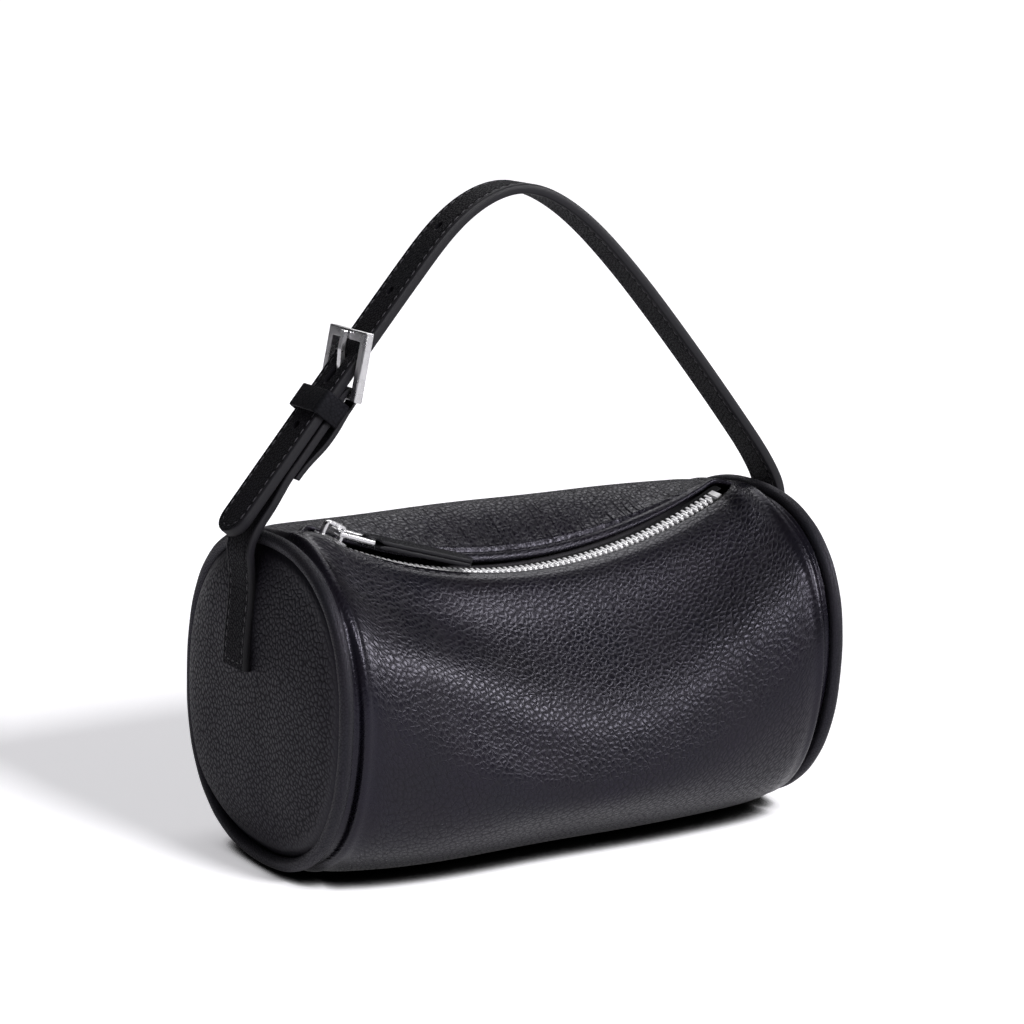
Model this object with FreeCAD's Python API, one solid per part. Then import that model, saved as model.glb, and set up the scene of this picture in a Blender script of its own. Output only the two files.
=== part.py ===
import FreeCAD, Part
import math
import os

from FreeCAD import Vector

# Small leather barrel bag, closed, standing on its base with the handle up.
# X runs along the bag, -Y is the front, Z is up and the floor is Z = 0. All sizes in mm.

# Body
body_length = 200.0
rim_depth = 126.5
rim_height = 121.2
rim_lift = 0.8
rim_roundness = 2.35
rim_lean = 0.1
leather = 1.5
seam_gap = 0.3

# Piping round both ends, bent along pairs of arcs between points of the rim
piping_diameter = 5.0
piping_spans = 16

# End panels swell outwards from the piping
panel_swell = 7.0

# Zip, laid on a sagging circular arc in the plane Y = zip_y
zip_y = -8.5
zip_low = 98.2
zip_radius = 185.0
zip_tilt = 6.0
chain_right = 82.0
tape_reach = 86.0
front_tape_width = 7.4
rear_tape_width = 6.5
tape_thickness = 0.8
tooth_pitch = 2.3
tooth_width = 1.1
tooth_height = 2.5
chain_width = 5.8
slot_front = 6.8
slot_rear = 6.2
slot_end = 2.5
lip_ledge = 4.0
lip_gap = 0.5
rear_lift = 1.5
slider_start = -80.0
slider_length = 10.0
slider_wall = 1.0
slider_clearance = 0.5
bail_height = 5.6
wire = 1.8
link_length = 14.5
link_width = 8.4
tab_length = 41.5
tab_width = 9.0
tab_thickness = 3.2
tab_rise = 6.3

# Lining, base board and inner pocket
lining = 0.8
lining_depth = 5.0
lining_spread = 2.4
pocket_gap = 0.4
board_length = 132.0
board_width = 46.0
board_thickness = 1.3
pocket_length = 96.0
pocket_low = 30.0
pocket_high = 82.0

# Handle straps, in the plane Y = strap_y; the sewn ends are measured down from the rim's top
strap_y = 6.0
strap_width = 17.5
strap_layer = 1.8
layer_gap = 0.1
short_strap_thickness = 3.0
left_sewn_start = 49.0
left_sewn_end = 12.0
right_sewn_start = 67.0
right_sewn_end = 29.0
tail_length = 89.5
hole_pitch = 29.0
hole_diameter = 3.4
prong_slot_start = 13.5
prong_slot_end = 26.4

# Buckle, keeper and prong, placed along the straight tail of the long strap
front_bar_along = 7.0
front_bar_out = 4.6
heel_along = 25.7
heel_out = -5.3
heel_radius = 1.5
frame_width = 28.0
frame_bar = 3.5
frame_thickness = 3.2
fold = 1.2
return_taper = 9.0
return_thickness = 2.0
return_end = 60.4
prong_width = 2.6
prong_thickness = 1.7
keeper_along = 29.4
keeper_length = 9.1
keeper_wall = 1.3
keeper_slack = 1.2
move_gap = 0.3

# Cross-section of the wrap at mid length without its lips: each point's Y and Z, and the
# angle on the rim outline that the same point has at the ends of the bag.
front_wall = [
    (-31.0, 86.0, 118.0), (-47.0, 65.0, 138.0), (-58.5, 45.0, 162.0), (-62.5, 28.0, 190.0),
]
base_wall = [
    (-51.0, 15.0, 220.0), (-36.5, 5.2, 240.0), (-22.0, 1.0, 252.0), (4.0, -0.3, 270.0),
    (30.0, 0.2, 288.0), (44.0, 3.6, 300.0), (57.0, 13.0, 320.0),
]
rear_wall = [
    (62.0, 42.0, 348.0), (58.0, 82.0, 22.0), (45.0, 106.5, 48.0),
    (23.0, 118.6, 70.0), (9.0, 112.6, 80.0),
]

half_length = body_length / 2
piping_radius = piping_diameter / 2
wrap_end = half_length - piping_radius - seam_gap
rim_centre = rim_lift + rim_height / 2
rim_top = rim_lift + rim_height
mid_sections = [0.0, 28.0, 56.0, 78.0, 89.0]

os.makedirs("parts", exist_ok=True)


def save(name, shape):
    if len(shape.Solids) == 1:
        shape = shape.Solids[0]
    shape.exportStep("parts/" + name + ".step")


def curve_through(points, closed=False):
    curve = Part.BSplineCurve()
    curve.interpolate(Points=points, PeriodicFlag=closed)
    return curve.toShape()


def polygon(points):
    return Part.makePolygon(points + [points[0]])


def block(x0, y0, z0, x1, y1, z1):
    return Part.makeBox(x1 - x0, y1 - y0, z1 - z0, Vector(x0, y0, z0))


def power(value, exponent):
    return math.copysign(abs(value) ** exponent, value)


# The end outline is a rounded square that leans to the front.
def rim_point(angle, inset):
    turn = math.radians(angle)
    y = (rim_depth / 2 - inset) * power(math.cos(turn), 2 / rim_roundness)
    z = (rim_height / 2 - inset) * power(math.sin(turn), 2 / rim_roundness)
    return y - rim_lean * z, z + rim_centre


def rim_wire(x, inset, scale=1.0):
    points = []
    for step in range(36):
        y, z = rim_point(step * 10.0 + 5.0, inset)
        points.append(Vector(x, y * scale, rim_centre + (z - rim_centre) * scale))
    return Part.Wire(curve_through(points, True))


def arc_rise(x):
    return zip_radius - math.sqrt(zip_radius ** 2 - x ** 2)


# The wrap is drawn in under the piping over its last stretch.
def tuck(x):
    start = half_length - 16.0
    return 2.4 * (max(0.0, abs(x) - start) / (wrap_end - start)) ** 2


# A point of the leather beside the zip, beyond its lip by extra.
def lip(x, side, extra=0.0):
    if abs(x) > tape_reach:
        part = (abs(x) - tape_reach) / (wrap_end - tape_reach)
        reach = slot_rear + (slot_end - slot_rear) * part + extra
        top = rim_point(90.0, tuck(x))[1]
        return zip_y + side * reach, top + 0.02 * side * reach + rear_lift * (1.0 - part)
    reach = (slot_rear if side > 0 else slot_front) + extra
    rise = tape_thickness / 2 + lip_gap + leather + (rear_lift if side > 0 else 0.0)
    tilt = math.radians(zip_tilt)
    y = zip_y + side * reach * math.cos(tilt) - rise * math.sin(tilt)
    z = zip_low + arc_rise(x) + side * reach * math.sin(tilt) + rise * math.cos(tilt)
    return y, z


# Outline of the body at one station, set in from the leather's outer face by depth.
def outline(x, depth, spread=0.0):
    sag = 1.0 - arc_rise(x) / arc_rise(wrap_end)
    flat = 1.0 - (x / wrap_end) ** 6
    points = []
    for wall, share in ((front_wall, sag), (base_wall, flat), (rear_wall, sag)):
        for mid_y, mid_z, angle in wall:
            rim_y, rim_z = rim_point(angle, tuck(x))
            points.append((rim_y + (mid_y - rim_y) * share, rim_z + (mid_z - rim_z) * share))
    front = lip(x, -1)
    rear = lip(x, 1)
    points.insert(0, lip(x, -1, spread + lip_ledge))
    points.insert(0, (front[0] - spread, front[1]))
    points.append((rear[0] + spread, rear[1]))
    inset = []
    for n, (y, z) in enumerate(points):
        before = points[max(n - 1, 0)]
        after = points[min(n + 1, len(points) - 1)]
        along = math.hypot(after[0] - before[0], after[1] - before[1])
        step_y = -(after[1] - before[1]) / along
        step_z = (after[0] - before[0]) / along
        if n == 0 or n == len(points) - 1:
            step_y, step_z = 0.0, -1.0
        inset.append(Vector(x, y + step_y * depth, z + step_z * depth))
    return inset


def stations(end):
    return [-end] + [-x for x in mid_sections[:0:-1]] + mid_sections + [end]


# The wrap follows the body in smooth curves, open along the zip.
def smooth_sheet(end, thickness):
    wires = []
    for x in stations(end):
        outside = outline(x, 0.0)
        inside = outline(x, thickness)
        wires.append(Part.Wire([
            curve_through(outside),
            Part.makeLine(outside[-1], inside[-1]),
            curve_through(inside[::-1]),
            Part.makeLine(inside[0], outside[0]),
        ]))
    return Part.makeLoft(wires, True, False)


# The lining inside it lies in flat folds between the same stations.
def folded_sheet(end, outer_depth, thickness):
    wires = []
    for x in stations(end):
        outside = outline(x, outer_depth, lining_spread)
        inside = outline(x, outer_depth + thickness, lining_spread)
        wires.append(polygon(outside + inside[::-1]))
    return Part.makeLoft(wires, True, True)


body_wrap = smooth_sheet(wrap_end, leather)
below_floor = block(-body_length, -rim_depth, -rim_height, body_length, rim_depth, 0)
save("body_wrap", body_wrap.cut(below_floor))

lining_end = half_length - 5.6
save("lining_wrap", folded_sheet(lining_end, lining_depth, lining))

pocket_space = block(-pocket_length / 2, 20, pocket_low, pocket_length / 2, rim_depth, pocket_high)
pocket = folded_sheet(lining_end, lining_depth + lining + pocket_gap, lining)
save("slip_pocket", pocket.common(pocket_space))

board_low = leather + 1.2
board_y = 5.0
base_board = block(
    -board_length / 2, board_y - board_width / 2, board_low,
    board_length / 2, board_y + board_width / 2, board_low + board_thickness)
save("base_board", base_board)


# Solid dome under an end panel's outer face, lifted outwards by lift.
def dome(side, lift):
    base = half_length - leather + 0.1
    wires = []
    for scale in (1.0, 0.85, 0.6, 0.3):
        x = base + leather + lift + panel_swell * (1.0 - scale ** 2)
        wires.append(rim_wire(side * x, piping_diameter + seam_gap, scale))
    return Part.makeLoft(wires, True, False)


def end_panel(side):
    base = half_length - leather + 0.1
    rim = Part.Face(rim_wire(side * base, piping_diameter + seam_gap))
    solid = rim.extrude(Vector(side * leather, 0, 0)).fuse(dome(side, 0.0))
    return solid.cut(dome(side, -leather)).removeSplitter()


# A point of the piping's middle line and the way the line runs there
def cord_point(side, angle):
    places = []
    for turn in (angle - 0.5, angle, angle + 0.5):
        y, z = rim_point(turn, piping_radius)
        places.append(Vector(side * half_length, y, z))
    return places[1], (places[2] - places[0]).normalize()


# Two arcs that leave the start and reach the end along the given headings
def arc_pair(start, heading, end, end_heading):
    gap = end - start
    bend = 2 * (1 - heading.dot(end_heading))
    pull = 2 * gap.dot(heading + end_heading)
    reach = 2 * gap.Length ** 2 / (pull + math.sqrt(pull ** 2 + 4 * bend * gap.Length ** 2))
    meet = (start + end + (heading - end_heading) * reach) * 0.5
    chord = (meet - start).normalize()
    meet_heading = chord * (2 * chord.dot(heading)) - heading
    return [(start, heading, meet), (meet, meet_heading, end)]


def cord_piece(start, heading, end):
    gap = end - start
    across = Vector(1, 0, 0).cross(heading)
    bend = gap.Length ** 2 / (2 * across.dot(gap))
    angle = math.degrees(2 * math.asin(gap.Length / (2 * abs(bend))))
    ring = Part.Face(Part.Wire(Part.makeCircle(piping_radius, start, heading)))
    return ring.revolve(start + across * bend, Vector(math.copysign(1, bend), 0, 0), angle)


def piping(side):
    pieces = []
    for n in range(piping_spans):
        start, heading = cord_point(side, n * 360.0 / piping_spans)
        end, end_heading = cord_point(side, (n + 1) * 360.0 / piping_spans)
        for arc in arc_pair(start, heading, end, end_heading):
            pieces.append(cord_piece(*arc))
    return pieces[0].fuse(pieces[1:]).removeSplitter()


for side, name in ((-1, "left"), (1, "right")):
    save(name + "_end_panel", end_panel(side))
    save(name + "_piping", piping(side))
    disc = Part.Face(rim_wire(side * (lining_end + 0.5), 4.6))
    save(name + "_end_lining", disc.extrude(Vector(side * lining, 0, 0)))


# Zip pieces are drawn at the bottom of the arc, u along the zip, v to the rear, n up
# from the tape's middle, and turned round the arc's centre to their place.
zip_centre = Vector(0, zip_y, zip_low + zip_radius)
arc_axis = Vector(0, -1, 0)


def on_zip(u, v, n):
    tilt = math.radians(zip_tilt)
    y = v * math.cos(tilt) - n * math.sin(tilt)
    z = v * math.sin(tilt) + n * math.cos(tilt)
    return Vector(u, zip_y + y, zip_low + z)


def arc_angle(x):
    return math.degrees(math.asin(x / zip_radius))


def turned(shape, angle):
    copy = shape.copy()
    copy.rotate(zip_centre, arc_axis, angle)
    return copy


def zip_block(u0, v0, n0, u1, v1, n1):
    base = polygon([on_zip(u0, v0, n0), on_zip(u1, v0, n0), on_zip(u1, v1, n0), on_zip(u0, v1, n0)])
    return Part.Face(base).extrude(on_zip(0, 0, n1) - on_zip(0, 0, n0))


rest_angle = arc_angle(slider_start)
chain_half = chain_width / 2


def tape(side):
    inner = chain_half + 0.1
    outer = rear_tape_width if side > 0 else front_tape_width
    half = tape_thickness / 2
    corners = [(inner, -half), (outer, -half), (outer, half), (inner, half)]
    face = Part.Face(polygon([on_zip(0, side * v, n) for v, n in corners]))
    start = turned(face, -arc_angle(tape_reach))
    return start.revolve(zip_centre, arc_axis, 2 * arc_angle(tape_reach))


def tooth(side):
    leg = tooth_width / 2
    head = leg * 0.82
    tip = chain_half * 0.31
    outline_points = [
        (-leg, chain_half), (leg, chain_half), (leg, tip * 1.3), (head, tip),
        (head, -tip), (-head, -tip), (-head, tip), (-leg, tip * 1.3),
    ]
    base = polygon([on_zip(u, side * v, -tooth_height / 2) for u, v in outline_points])
    return Part.Face(base).extrude(on_zip(0, 0, tooth_height) - on_zip(0, 0, 0))


pitch_angle = math.degrees(tooth_pitch / zip_radius)
first_angle = rest_angle + math.degrees(0.6 / zip_radius)
tooth_count = int((arc_angle(chain_right) - first_angle) / pitch_angle)
for side, name in ((-1, "front"), (1, "rear")):
    save(name + "_zip_tape", tape(side))
    shift = 0.0 if side < 0 else pitch_angle / 2
    row = [turned(tooth(side), first_angle + shift + n * pitch_angle) for n in range(tooth_count)]
    save(name + "_zip_teeth", Part.makeCompound(row))

# Stops: a crimp on each tape beside the closed slider, and one bridge past the last tooth
stop_half = tooth_height / 2
crimp_gap = 0.2
top_stops = []
for side in (-1, 1):
    upper = zip_block(-6.7, side * 3.2, tape_thickness / 2 + crimp_gap, -5.4, side * 5.0, stop_half)
    top_stops.append(turned(upper, rest_angle))
save("zip_top_stops", Part.makeCompound(top_stops))
last_angle = first_angle + pitch_angle * tooth_count
bottom_stop = zip_block(0.3, -chain_half, -stop_half, 2.6, chain_half, stop_half)
save("zip_bottom_stop", turned(bottom_stop, last_angle))

# Slider: two plates with turned-in edges, joined by the wedge that parts the teeth
channel = tooth_height / 2 + slider_clearance
slider_half = chain_half + slider_clearance + slider_wall
plate_top = channel + slider_wall
mouth = slider_half - 1.0
half_slider = slider_length / 2
slider = None
for level in (-1, 1):
    plan = [
        (-half_slider, -mouth), (-1.0, -slider_half), (half_slider, -slider_half),
        (half_slider, slider_half), (-1.0, slider_half), (-half_slider, mouth),
    ]
    base = Part.Face(polygon([on_zip(u, v, level * channel) for u, v in plan]))
    plate = base.extrude(on_zip(0, 0, level * slider_wall) - on_zip(0, 0, 0))
    slider = plate if slider is None else slider.fuse(plate)
    for side in (-1, 1):
        inner = side * (slider_half - slider_wall)
        edge = zip_block(-1.0, inner, level * 0.8, half_slider, side * slider_half, level * channel)
        slider = slider.fuse(edge)
slider = slider.fuse(zip_block(-half_slider, -0.9, -channel, -1.4, 0.9, channel))

# The bail arches over the top plate and carries the pull link.
bail_half = half_slider - 0.6
bail_width = 1.3
bail_outer = zip_block(-bail_half, -bail_width, plate_top, bail_half, bail_width, plate_top + bail_height)
bail_inner = zip_block(
    -bail_half + 1.3, -3, plate_top, bail_half - 1.3, 3, plate_top + bail_height - 1.3)
bail_edges = [
    edge for edge in bail_outer.Edges
    if abs(edge.BoundBox.XLength) < 0.01
    and min((v.Point - on_zip(v.Point.x, 0, 0)).Length for v in edge.Vertexes) > plate_top + 2.0
]
bail = bail_outer.makeFillet(2.2, bail_edges).cut(bail_inner)
slider = slider.fuse(bail).removeSplitter()
save("zip_slider", turned(slider, rest_angle))

# Pull link, a closed wire loop, and the leather tab folded over its far bar. Both lie
# along the zip, tilted up by tab_rise about the bail.
pin_u = bail_half - 1.3 - wire / 2 - 0.5
pin_n = plate_top + bail_height - 1.3 - wire / 2 - 0.6
pin = on_zip(pin_u, 0, pin_n)
pin_axis = on_zip(0, -1, 0) - on_zip(0, 0, 0)
half_wire = wire / 2
link_far = pin_u + link_length - wire
link = zip_block(
    pin_u - half_wire, -link_width / 2, pin_n - half_wire,
    link_far + half_wire, link_width / 2, pin_n + half_wire)
link = link.cut(zip_block(
    pin_u + half_wire, -link_width / 2 + wire, pin_n - wire,
    link_far - half_wire, link_width / 2 - wire, pin_n + wire))
link_edges = [edge for edge in link.Edges if edge.Length > link_width / 2]
link = link.makeFillet(0.5, link_edges)

eye = half_wire + move_gap
tab_end = link_far + tab_length
tab_half = tab_thickness / 2
tab = zip_block(
    link_far - tab_half - 0.4, -tab_width / 2, pin_n - tab_half,
    tab_end, tab_width / 2, pin_n + tab_half)
tab = tab.cut(zip_block(
    link_far - eye, -tab_width, pin_n - eye,
    link_far + eye + 0.4, tab_width, pin_n + eye))
leg_inner = link_width / 2 - wire - move_gap
for side in (-1, 1):
    tab = tab.cut(zip_block(
        link_far - 6, side * leg_inner, pin_n - 4,
        link_far + eye + 0.4, side * tab_width, pin_n + 4))
tip_edges = [
    edge for edge in tab.Edges
    if abs(edge.Length - tab_thickness) < 0.01 and edge.Vertexes[0].Point.x > tab_end - 0.1
]
tab = tab.makeFillet(tab_width * 0.3, tip_edges)


def laid(shape):
    copy = shape.copy()
    copy.rotate(pin, pin_axis, tab_rise)
    return turned(copy, rest_angle)


save("pull_link", laid(link))
save("pull_tab", laid(tab))

# Handle. The long strap arches from the right foot and runs straight down at the left,
# through the buckle to its tail; the arch's points are on the strap's middle.
tail_angle = 50.0
tail_dir = Vector(-math.cos(math.radians(tail_angle)), 0, -math.sin(math.radians(tail_angle)))
tail_out = Vector(tail_dir.z, 0, -tail_dir.x)
arch_right = [(1.1, 18.4), (-31.2, 59.2), (-58.6, 90.2), (-76.1, 105.2), (-97.0, 113.2)]
arch_left = [(-84.0, 107.2), (-62.9, 87.4), (-45.9, 67.5)]
right_bend = [(7.2, -27.0), (13.4, -17.5), (16.2, -9.0), (12.4, 2.0), (1.6, 17.7)]
left_bend = [(-2.1, 7.5), (4.2, -1.2), (6.2, -8.5), (5.9, -11.5)]


# Places of the handle from points measured outwards from one end and up from the rim's top
def from_end(side, points):
    return [Vector(side * (half_length + out), 0, rim_top + up) for out, up in points]


arch_points = from_end(1, arch_right) + from_end(-1, arch_left)
buckle_start = arch_points[-1]


def on_tail(along, out, y=0.0):
    return buckle_start + tail_dir * along + tail_out * out + Vector(0, y, 0)


# A curve beside the given one, on the outer side by out
def beside(curve, out, count):
    points = []
    for n in range(count + 1):
        place = curve.FirstParameter + (curve.LastParameter - curve.FirstParameter) * n / count
        along = curve.tangentAt(place)
        points.append(curve.valueAt(place) + Vector(along.z, 0, -along.x) * out)
    return points


def strap_solid(face):
    solid = face.extrude(Vector(0, strap_width, 0))
    solid.translate(Vector(0, strap_y - strap_width / 2, 0))
    return solid


def bent_strap(points, low, high):
    middle = curve_through(points)
    inner = beside(middle, low, 10)
    outer = beside(middle, high, 10)
    edges = [
        curve_through(inner), Part.makeLine(inner[-1], outer[-1]),
        curve_through(outer[::-1]), Part.makeLine(outer[0], inner[0]),
    ]
    return strap_solid(Part.Face(Part.Wire(edges)))


def arch_curve():
    curve = Part.BSplineCurve()
    start = arch_points[1] - arch_points[0]
    curve.interpolate(Points=arch_points, InitialTangent=start, FinalTangent=tail_dir * 30.0)
    return curve.toShape()


arch = arch_curve()


def punch(place, along, length):
    base = Part.makeCylinder(hole_diameter / 2, 12, place - along * 6, along)
    if length > 0:
        start = place - along * 6
        far = start + tail_dir * length
        side = Vector(0, hole_diameter / 2, 0)
        web = Part.Face(polygon([start - side, far - side, far + side, start + side]))
        base = base.fuse(Part.makeCylinder(hole_diameter / 2, 12, far, along))
        base = base.fuse(web.extrude(along * 12))
    return base


def long_strap(low, high):
    inner = beside(arch, low, 24)
    outer = beside(arch, high, 24)
    inner_end = on_tail(tail_length, low)
    outer_end = on_tail(tail_length, high)
    edges = [
        curve_through(inner), Part.makeLine(inner[-1], inner_end),
        Part.makeLine(inner_end, outer_end), Part.makeLine(outer_end, outer[-1]),
        curve_through(outer[::-1]), Part.makeLine(outer[0], inner[0]),
    ]
    solid = strap_solid(Part.Face(Part.Wire(edges)))
    corners = [
        edge for edge in solid.Edges
        if abs(edge.Length - (high - low)) < 0.01
        and (edge.Vertexes[0].Point - on_tail(tail_length, low)).dot(tail_dir) > -0.1
    ]
    solid = solid.makeFillet(strap_width * 0.45, corners)
    radius = hole_diameter / 2
    slot = prong_slot_end - prong_slot_start - hole_diameter
    solid = solid.cut(punch(on_tail(prong_slot_start + radius, 0, strap_y), tail_out, slot))
    solid = solid.cut(punch(on_tail(prong_slot_start + hole_pitch + radius, 0, strap_y), tail_out, 0))
    for steps in (1, 2):
        back = arch.Length - hole_pitch * steps + prong_slot_start + radius
        place = arch.getParameterByLength(back)
        along = arch.tangentAt(place)
        out = Vector(along.z, 0, -along.x)
        solid = solid.cut(punch(arch.valueAt(place) + Vector(0, strap_y, 0), out, 0))
    return solid


half_gap = layer_gap / 2
save("long_strap_face", long_strap(half_gap, half_gap + strap_layer))
save("long_strap_backing", long_strap(-half_gap - strap_layer, -half_gap))
long_half = half_gap + strap_layer
short_half = short_strap_thickness / 2
main_top = -long_half - 0.5
main_low = main_top - short_strap_thickness
bend_start = 58.0
bend_lead = [on_tail(bend_start + step, main_top - short_half) for step in (0.4, 4.0)]
save("long_strap_bend", bent_strap(from_end(1, right_bend), -long_half, long_half))
save("short_strap_bend", bent_strap(bend_lead + from_end(-1, left_bend), -short_half, short_half))


# The sewn ends lie on the swollen end panels.
def sewn_end(side, thickness, start, end):
    outer = dome(side, seam_gap + thickness)
    space = block(
        outer.BoundBox.XMin - 1, strap_y - strap_width / 2, rim_top - start,
        outer.BoundBox.XMax + 1, strap_y + strap_width / 2, rim_top - end)
    return space.common(outer).cut(dome(side, seam_gap))


save("short_strap_sewn_end", sewn_end(-1, short_strap_thickness, left_sewn_start, left_sewn_end))
save("long_strap_sewn_end", sewn_end(1, 2 * long_half, right_sewn_start, right_sewn_end))

# Short strap: lies under the tail, loops round the heel bar and runs back under itself, with
# room for the keeper between the two runs; it is sewn together past the keeper.
loop_inner = heel_radius + move_gap
loop_outer = loop_inner + fold
keeper_room = keeper_wall + 2 * move_gap
return_top = main_low - keeper_room
return_low = return_top - return_thickness
taper_end = heel_along + return_taper
heel = on_tail(heel_along, heel_out)


def tail_prism(corners):
    return strap_solid(Part.Face(polygon([on_tail(along, out) for along, out in corners])))


def heel_cylinder(radius, width):
    return Part.makeCylinder(radius, width, heel + Vector(0, strap_y - width / 2, 0), Vector(0, 1, 0))


short_strap = tail_prism([
    (heel_along, main_top), (bend_start, main_top), (bend_start, main_low), (heel_along, main_low)])
short_strap = short_strap.fuse(tail_prism([
    (heel_along, heel_out - loop_inner), (taper_end, return_top), (return_end, return_top),
    (return_end, return_low), (taper_end, return_low), (heel_along, heel_out - loop_outer)]))
short_strap = short_strap.fuse(heel_cylinder(loop_outer, strap_width))
short_strap = short_strap.cut(heel_cylinder(loop_inner, strap_width + 2))
prong_notch = prong_width / 2 + 0.9
notch = Part.Face(polygon([
    on_tail(heel_along - 6, 2), on_tail(heel_along + 4.5, 2),
    on_tail(heel_along + 4.5, -11), on_tail(heel_along - 6, -11)]))
notch = notch.extrude(Vector(0, 2 * prong_notch, 0))
notch.translate(Vector(0, strap_y - prong_notch, 0))
save("short_strap", short_strap.cut(notch))

# Buckle frame in its own plane: e runs from the heel bar to the front bar, h points out
front_bar = on_tail(front_bar_along, front_bar_out)
frame_reach = (front_bar - heel).Length
frame_dir = (front_bar - heel).normalize()
frame_out = Vector(frame_dir.z, 0, -frame_dir.x) * -1.0


def on_frame(e, y, h):
    return heel + frame_dir * e + frame_out * h + Vector(0, strap_y + y, 0)


def frame_block(e0, y0, h0, e1, y1, h1):
    base = polygon([
        on_frame(e0, y0, h0), on_frame(e1, y0, h0), on_frame(e1, y1, h0), on_frame(e0, y1, h0)])
    return Part.Face(base).extrude(frame_out * (h1 - h0))


half_frame = frame_width / 2
half_bar = frame_bar / 2
half_thick = frame_thickness / 2
frame = frame_block(-half_bar, -half_frame, -half_thick, frame_reach + half_bar, half_frame, half_thick)
frame_edges = [edge for edge in frame.Edges if edge.Length > frame_bar]
frame = frame.makeFillet(0.7, frame_edges)
frame = frame.cut(frame_block(
    -frame_bar, -half_frame + frame_bar, -frame_thickness,
    frame_reach - half_bar, half_frame - frame_bar, frame_thickness))
frame = frame.fuse(heel_cylinder(heel_radius, frame_width - frame_bar))
save("buckle_frame", frame.removeSplitter())

# Prong: an eye round the heel bar and a tongue that rests over the front bar
prong_half = prong_thickness / 2
rest_height = half_thick + move_gap + prong_half
prong_end = frame_reach + half_bar / 2
tongue = [
    (1.5, -prong_half), (frame_reach * 0.72, rest_height - prong_half),
    (prong_end, rest_height - prong_half), (prong_end, rest_height + prong_half),
    (frame_reach * 0.72, rest_height + prong_half), (0.0, prong_half + 0.8),
]
prong = Part.Face(polygon([on_frame(e, -prong_width / 2, h) for e, h in tongue]))
prong = prong.extrude(Vector(0, prong_width, 0))
prong = prong.fuse(heel_cylinder(loop_outer - 0.1, prong_width))
prong = prong.cut(heel_cylinder(loop_inner, prong_width + 2))
save("buckle_prong", prong.removeSplitter())

# Keeper: a leather band round the tail and the upper run of the short strap
keeper_half = strap_width / 2 + 0.5
keeper_top = long_half + keeper_slack
keeper_low = main_low - move_gap


def keeper_prism(grow):
    corners = [
        on_tail(keeper_along, keeper_low - grow), on_tail(keeper_along, keeper_top + grow),
        on_tail(keeper_along + keeper_length, keeper_top + grow),
        on_tail(keeper_along + keeper_length, keeper_low - grow),
    ]
    width = 2 * (keeper_half + grow)
    solid = Part.Face(polygon(corners)).extrude(Vector(0, width, 0))
    solid.translate(Vector(0, strap_y - width / 2, 0))
    return solid


keeper = keeper_prism(keeper_wall)
long_edges = [edge for edge in keeper.Edges if abs(edge.Length - keeper_length) < 0.01]
keeper = keeper.makeFillet(keeper_wall, long_edges).cut(keeper_prism(0.0))
save("strap_keeper", keeper)
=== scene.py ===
import math

import bmesh
import bpy
import numpy as np
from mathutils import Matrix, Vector


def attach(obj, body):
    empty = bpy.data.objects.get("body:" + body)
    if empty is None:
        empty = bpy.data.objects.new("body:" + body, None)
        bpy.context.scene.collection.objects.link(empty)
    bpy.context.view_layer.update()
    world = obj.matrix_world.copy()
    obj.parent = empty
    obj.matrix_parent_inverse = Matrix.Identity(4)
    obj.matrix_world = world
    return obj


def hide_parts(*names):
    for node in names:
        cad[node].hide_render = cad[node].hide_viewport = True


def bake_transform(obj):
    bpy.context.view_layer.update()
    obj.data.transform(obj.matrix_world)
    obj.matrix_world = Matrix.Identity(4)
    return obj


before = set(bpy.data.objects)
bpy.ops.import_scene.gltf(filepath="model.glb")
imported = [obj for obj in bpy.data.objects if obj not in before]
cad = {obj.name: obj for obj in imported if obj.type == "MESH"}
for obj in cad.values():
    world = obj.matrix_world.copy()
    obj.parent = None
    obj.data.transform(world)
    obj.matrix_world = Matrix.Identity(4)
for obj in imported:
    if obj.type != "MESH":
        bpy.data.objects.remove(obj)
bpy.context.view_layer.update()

mm = 0.001

# sizes below are in mm and repeat those of the CAD, so the soft skins lie where its solids are
shell = {
    "halfLength": 100.0, "wrapEnd": 97.2, "hidden": 98.8, "rimDepth": 126.5, "rimHeight": 121.2,
    "rimCentre": 61.4, "roundness": 2.35, "lean": 0.1, "piping": 5.0, "swell": 7.0,
    "panelEdge": 5.3, "seam": 0.1, "tuckFrom": 84.0, "tuckDepth": 2.4,
    "front": [(-31.0, 86.0, 118.0), (-47.0, 65.0, 138.0), (-58.5, 45.0, 162.0), (-62.5, 28.0, 190.0)],
    "base": [(-51.0, 15.0, 220.0), (-36.5, 5.2, 240.0), (-22.0, 1.0, 252.0), (4.0, -0.1, 270.0),
             (30.0, 0.2, 288.0), (44.0, 3.6, 300.0), (57.0, 13.0, 320.0)],
    "rear": [(62.0, 42.0, 348.0), (58.0, 82.0, 22.0), (45.0, 106.5, 48.0), (23.0, 118.6, 70.0),
             (9.0, 112.6, 80.0)],
}
zipRun = {
    "y": -8.5, "low": 98.2, "radius": 185.0, "tilt": math.radians(6.0), "reach": 86.0, "start": -80.0,
    "slotFront": 6.8, "slotRear": 6.2, "lipRise": 2.4, "rearLift": 1.5, "ledge": 4.0,
    "shut": (79.0, 90.0), "narrowing": (82.0, 91.0), "shutHalf": 0.5, "crown": 0.6, "crownFade": (86.0, 96.0),
}


def hexLinear(code):
    parts = [int(code[i:i + 2], 16) / 255 for i in (1, 3, 5)]
    return tuple(c / 12.92 if c <= 0.04045 else ((c + 0.055) / 1.055) ** 2.4 for c in parts) + (1.0,)


def ease(value, low, high):
    t = np.clip((value - low) / (high - low), 0.0, 1.0)
    return t * t * (3 - 2 * t)


def bell(value, centre, width):
    return np.exp(-((value - centre) / width) ** 2)


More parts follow.
